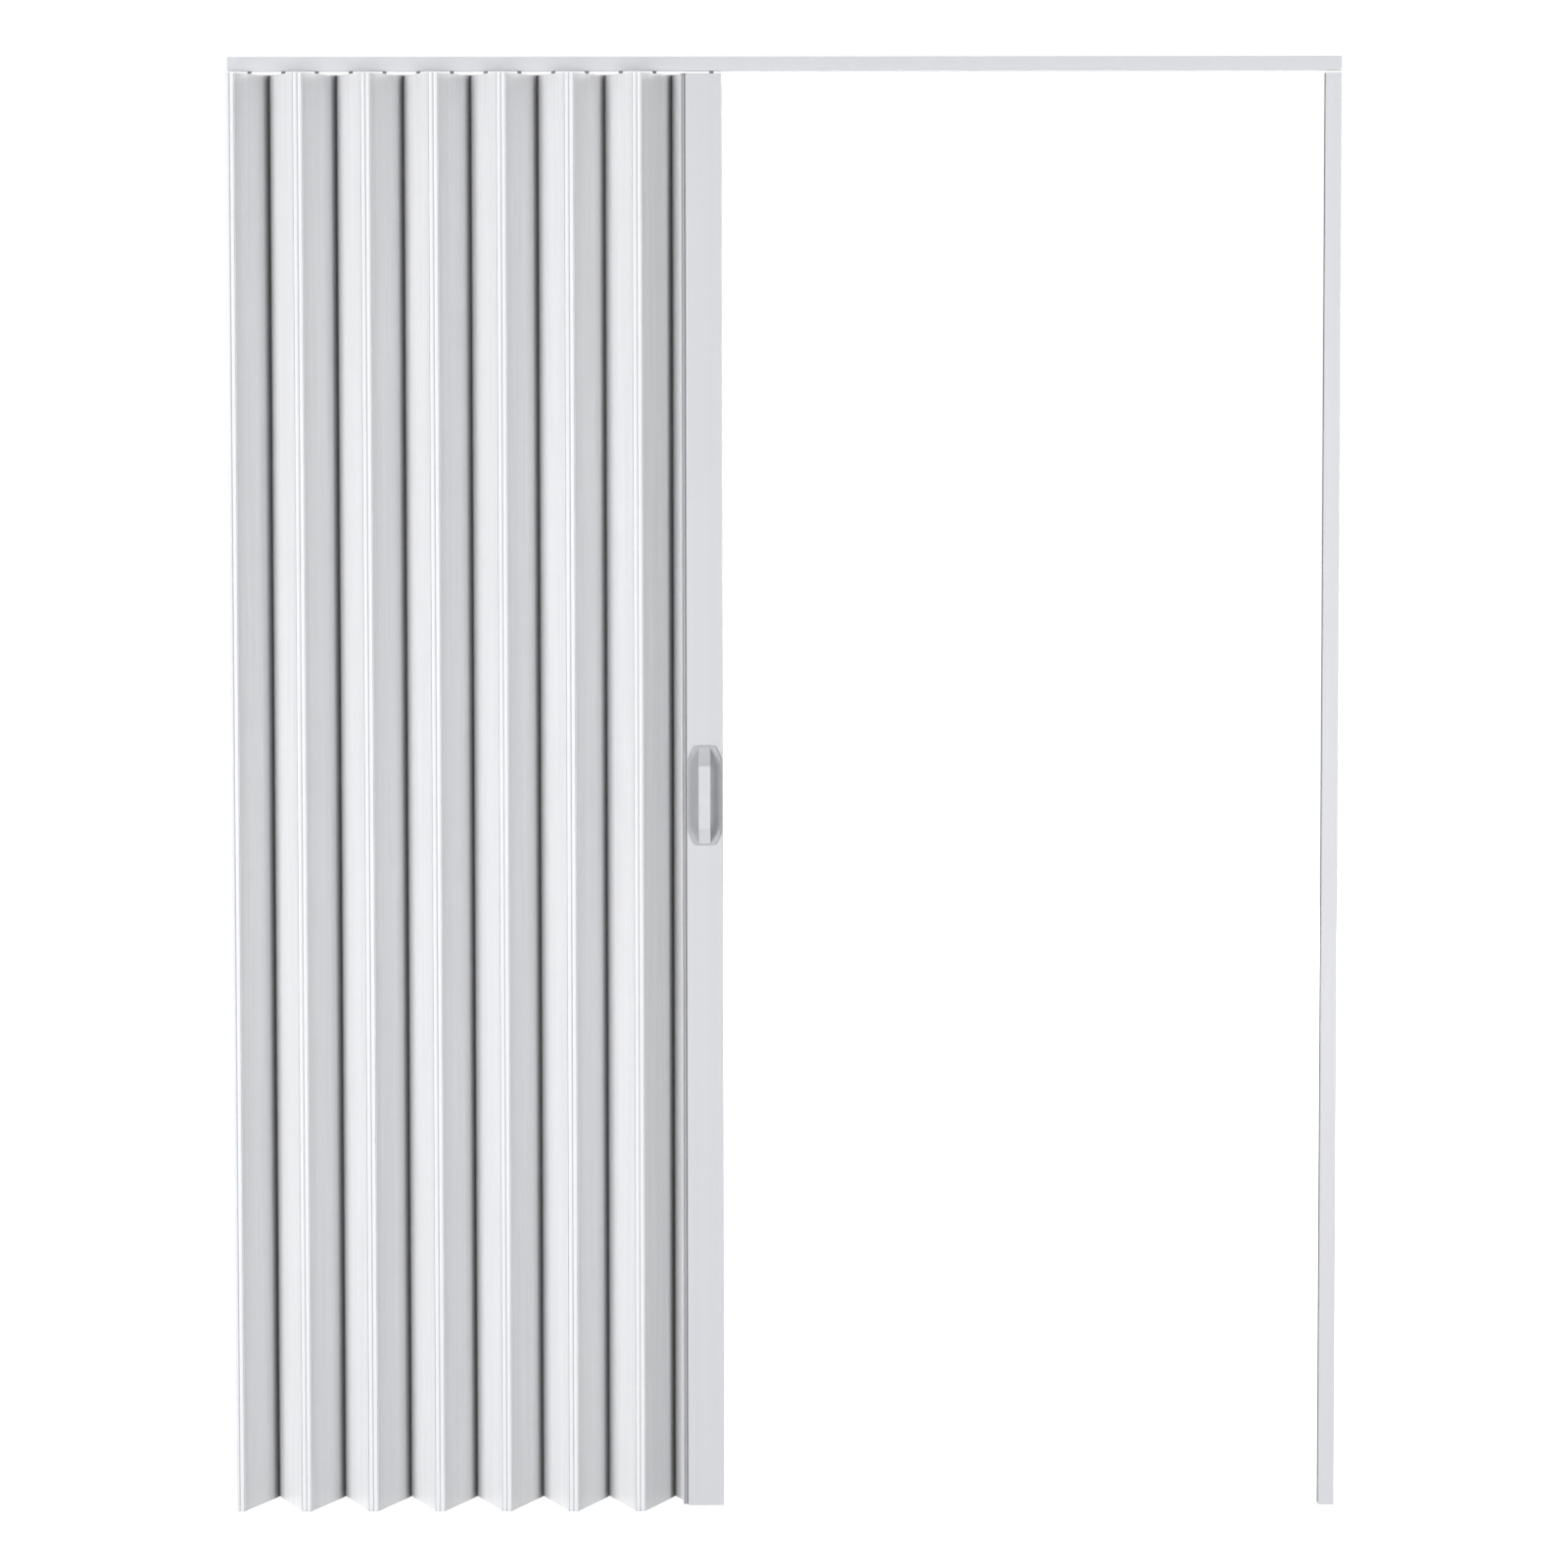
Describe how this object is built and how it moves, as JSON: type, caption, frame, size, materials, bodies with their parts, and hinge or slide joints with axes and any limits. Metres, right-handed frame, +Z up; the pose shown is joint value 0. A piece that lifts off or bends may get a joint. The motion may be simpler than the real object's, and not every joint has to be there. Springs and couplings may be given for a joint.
{
  "type": "accordion door",
  "caption": "Folding accordion door of wood-grain PVC panels hung from a top track, with a lead post, bow handles on both faces and a magnetic strike jamb.",
  "frame": {"origin": "under the middle of the track, level with the bottom of the leaf and the jamb, on the track's centre line", "axes": "+X along the track from the stacked leaf to the strike jamb, the front faces -Y, +Z up"},
  "size_m": [1.524, 0.1146, 2.0045],
  "materials": {
    "panel_pvc": "white PVC with an embossed upright wood grain",
    "frame_pvc": "smooth satin white PVC extrusion",
    "post_pvc": "smooth satin white PVC extrusion",
    "cord_pvc": "soft white PVC",
    "handle_plastic": "satin white moulded plastic",
    "plate_plastic": "satin grey moulded plastic",
    "plug_plastic": "moulded plastic",
    "nylon": "grey nylon",
    "magnet": "dark flexible magnet strip",
    "bolt_steel": "zinc-plated steel"
  },
  "bodies": {
    "frame": {"top_track": "frame_pvc", "track_stop_left": "nylon", "track_stop_right": "nylon", "strike_jamb": "frame_pvc", "strike_magnet": "magnet"},
    "wall_glide": {"glide_01": "nylon"},
    "fold_01": {"panel_01": "panel_pvc", "edge_strip": "panel_pvc", "hinge_cord_00": "cord_pvc", "hinge_cord_01": "cord_pvc"},
    "fold_02": {"panel_02": "panel_pvc", "glide_02": "nylon", "hinge_cord_02": "cord_pvc"},
    "fold_03": {"panel_03": "panel_pvc", "glide_03": "nylon", "hinge_cord_03": "cord_pvc"},
    "fold_04": {"panel_04": "panel_pvc", "glide_04": "nylon", "hinge_cord_04": "cord_pvc"},
    "fold_05": {"panel_05": "panel_pvc", "glide_05": "nylon", "hinge_cord_05": "cord_pvc"},
    "fold_06": {"panel_06": "panel_pvc", "glide_06": "nylon", "hinge_cord_06": "cord_pvc"},
    "fold_07": {"panel_07": "panel_pvc", "glide_07": "nylon", "hinge_cord_07": "cord_pvc"},
    "fold_08": {"panel_08": "panel_pvc", "glide_08": "nylon", "hinge_cord_08": "cord_pvc"},
    "fold_09": {"panel_09": "panel_pvc", "glide_09": "nylon", "hinge_cord_09": "cord_pvc"},
    "fold_10": {"panel_10": "panel_pvc", "glide_10": "nylon", "hinge_cord_10": "cord_pvc"},
    "fold_11": {"panel_11": "panel_pvc", "glide_11": "nylon", "hinge_cord_11": "cord_pvc"},
    "fold_12": {"panel_12": "panel_pvc", "glide_12": "nylon", "hinge_cord_12": "cord_pvc"},
    "fold_13": {"panel_13": "panel_pvc", "glide_13": "nylon", "hinge_cord_13": "cord_pvc"},
    "fold_half": {"half_panel": "panel_pvc"},
    "lead": {"lead_post": "post_pvc", "post_magnet": "magnet", "post_top_plug": "plug_plastic", "post_bottom_plug": "plug_plastic", "lead_glide": "nylon", "front_handle_plate": "plate_plastic", "front_handle_grip": "handle_plastic", "rear_handle_plate": "plate_plastic", "rear_handle_grip": "handle_plastic", "handle_bolts": "bolt_steel"}
  },
  "joints": [
    {"name": "wall_glide_slide", "type": "slide", "parent": "frame", "child": "wall_glide", "axis": [1, 0, 0], "range_m": [-0.01262, 0.03499]},
    {"name": "fold_01_turn", "type": "hinge", "parent": "wall_glide", "child": "fold_01", "pos_m": [-0.7327, 0, 0.991], "axis": [0, 0, -1], "range_deg": [-14, 38.85]},
    {"name": "fold_02_turn", "type": "hinge", "parent": "fold_01", "child": "fold_02", "pos_m": [-0.70959, 0.05655, 0.991], "axis": [0, 0, 1], "range_deg": [-28, 77.7]},
    {"name": "fold_03_turn", "type": "hinge", "parent": "fold_02", "child": "fold_03", "pos_m": [-0.66336, -0.05655, 0.991], "axis": [0, 0, -1], "range_deg": [-28, 77.7]},
    {"name": "fold_04_turn", "type": "hinge", "parent": "fold_03", "child": "fold_04", "pos_m": [-0.61713, 0.05655, 0.991], "axis": [0, 0, 1], "range_deg": [-28, 77.7]},
    {"name": "fold_05_turn", "type": "hinge", "parent": "fold_04", "child": "fold_05", "pos_m": [-0.5709, -0.05655, 0.991], "axis": [0, 0, -1], "range_deg": [-28, 77.7]},
    {"name": "fold_06_turn", "type": "hinge", "parent": "fold_05", "child": "fold_06", "pos_m": [-0.52467, 0.05655, 0.991], "axis": [0, 0, 1], "range_deg": [-28, 77.7]},
    {"name": "fold_07_turn", "type": "hinge", "parent": "fold_06", "child": "fold_07", "pos_m": [-0.47845, -0.05655, 0.991], "axis": [0, 0, -1], "range_deg": [-28, 77.7]},
    {"name": "fold_08_turn", "type": "hinge", "parent": "fold_07", "child": "fold_08", "pos_m": [-0.43222, 0.05655, 0.991], "axis": [0, 0, 1], "range_deg": [-28, 77.7]},
    {"name": "fold_09_turn", "type": "hinge", "parent": "fold_08", "child": "fold_09", "pos_m": [-0.38599, -0.05655, 0.991], "axis": [0, 0, -1], "range_deg": [-28, 77.7]},
    {"name": "fold_10_turn", "type": "hinge", "parent": "fold_09", "child": "fold_10", "pos_m": [-0.33976, 0.05655, 0.991], "axis": [0, 0, 1], "range_deg": [-28, 77.7]},
    {"name": "fold_11_turn", "type": "hinge", "parent": "fold_10", "child": "fold_11", "pos_m": [-0.29353, -0.05655, 0.991], "axis": [0, 0, -1], "range_deg": [-28, 77.7]},
    {"name": "fold_12_turn", "type": "hinge", "parent": "fold_11", "child": "fold_12", "pos_m": [-0.24731, 0.05655, 0.991], "axis": [0, 0, 1], "range_deg": [-28, 77.7]},
    {"name": "fold_13_turn", "type": "hinge", "parent": "fold_12", "child": "fold_13", "pos_m": [-0.20108, -0.05655, 0.991], "axis": [0, 0, -1], "range_deg": [-28, 77.7]},
    {"name": "fold_half_turn", "type": "hinge", "parent": "fold_13", "child": "fold_half", "pos_m": [-0.15485, 0.05655, 0.991], "axis": [0, 0, 1], "range_deg": [-28, 77.7]},
    {"name": "lead_turn", "type": "hinge", "parent": "fold_half", "child": "lead", "pos_m": [-0.13174, 0, 0.991], "axis": [0, 0, -1], "range_deg": [-14, 38.85]}
  ],
  "couplings": [
    {"joint": "wall_glide_slide", "follows": "fold_07_turn", "m_per_rad": 0.025783},
    {"joint": "fold_01_turn", "follows": "fold_07_turn", "ratio": 0.5},
    {"joint": "fold_02_turn", "follows": "fold_07_turn", "ratio": 1},
    {"joint": "fold_03_turn", "follows": "fold_07_turn", "ratio": 1},
    {"joint": "fold_04_turn", "follows": "fold_07_turn", "ratio": 1},
    {"joint": "fold_05_turn", "follows": "fold_07_turn", "ratio": 1},
    {"joint": "fold_06_turn", "follows": "fold_07_turn", "ratio": 1},
    {"joint": "fold_08_turn", "follows": "fold_07_turn", "ratio": 1},
    {"joint": "fold_09_turn", "follows": "fold_07_turn", "ratio": 1},
    {"joint": "fold_10_turn", "follows": "fold_07_turn", "ratio": 1},
    {"joint": "fold_11_turn", "follows": "fold_07_turn", "ratio": 1},
    {"joint": "fold_12_turn", "follows": "fold_07_turn", "ratio": 1},
    {"joint": "fold_13_turn", "follows": "fold_07_turn", "ratio": 1},
    {"joint": "fold_half_turn", "follows": "fold_07_turn", "ratio": 1},
    {"joint": "lead_turn", "follows": "fold_07_turn", "ratio": 0.5}
  ]
}
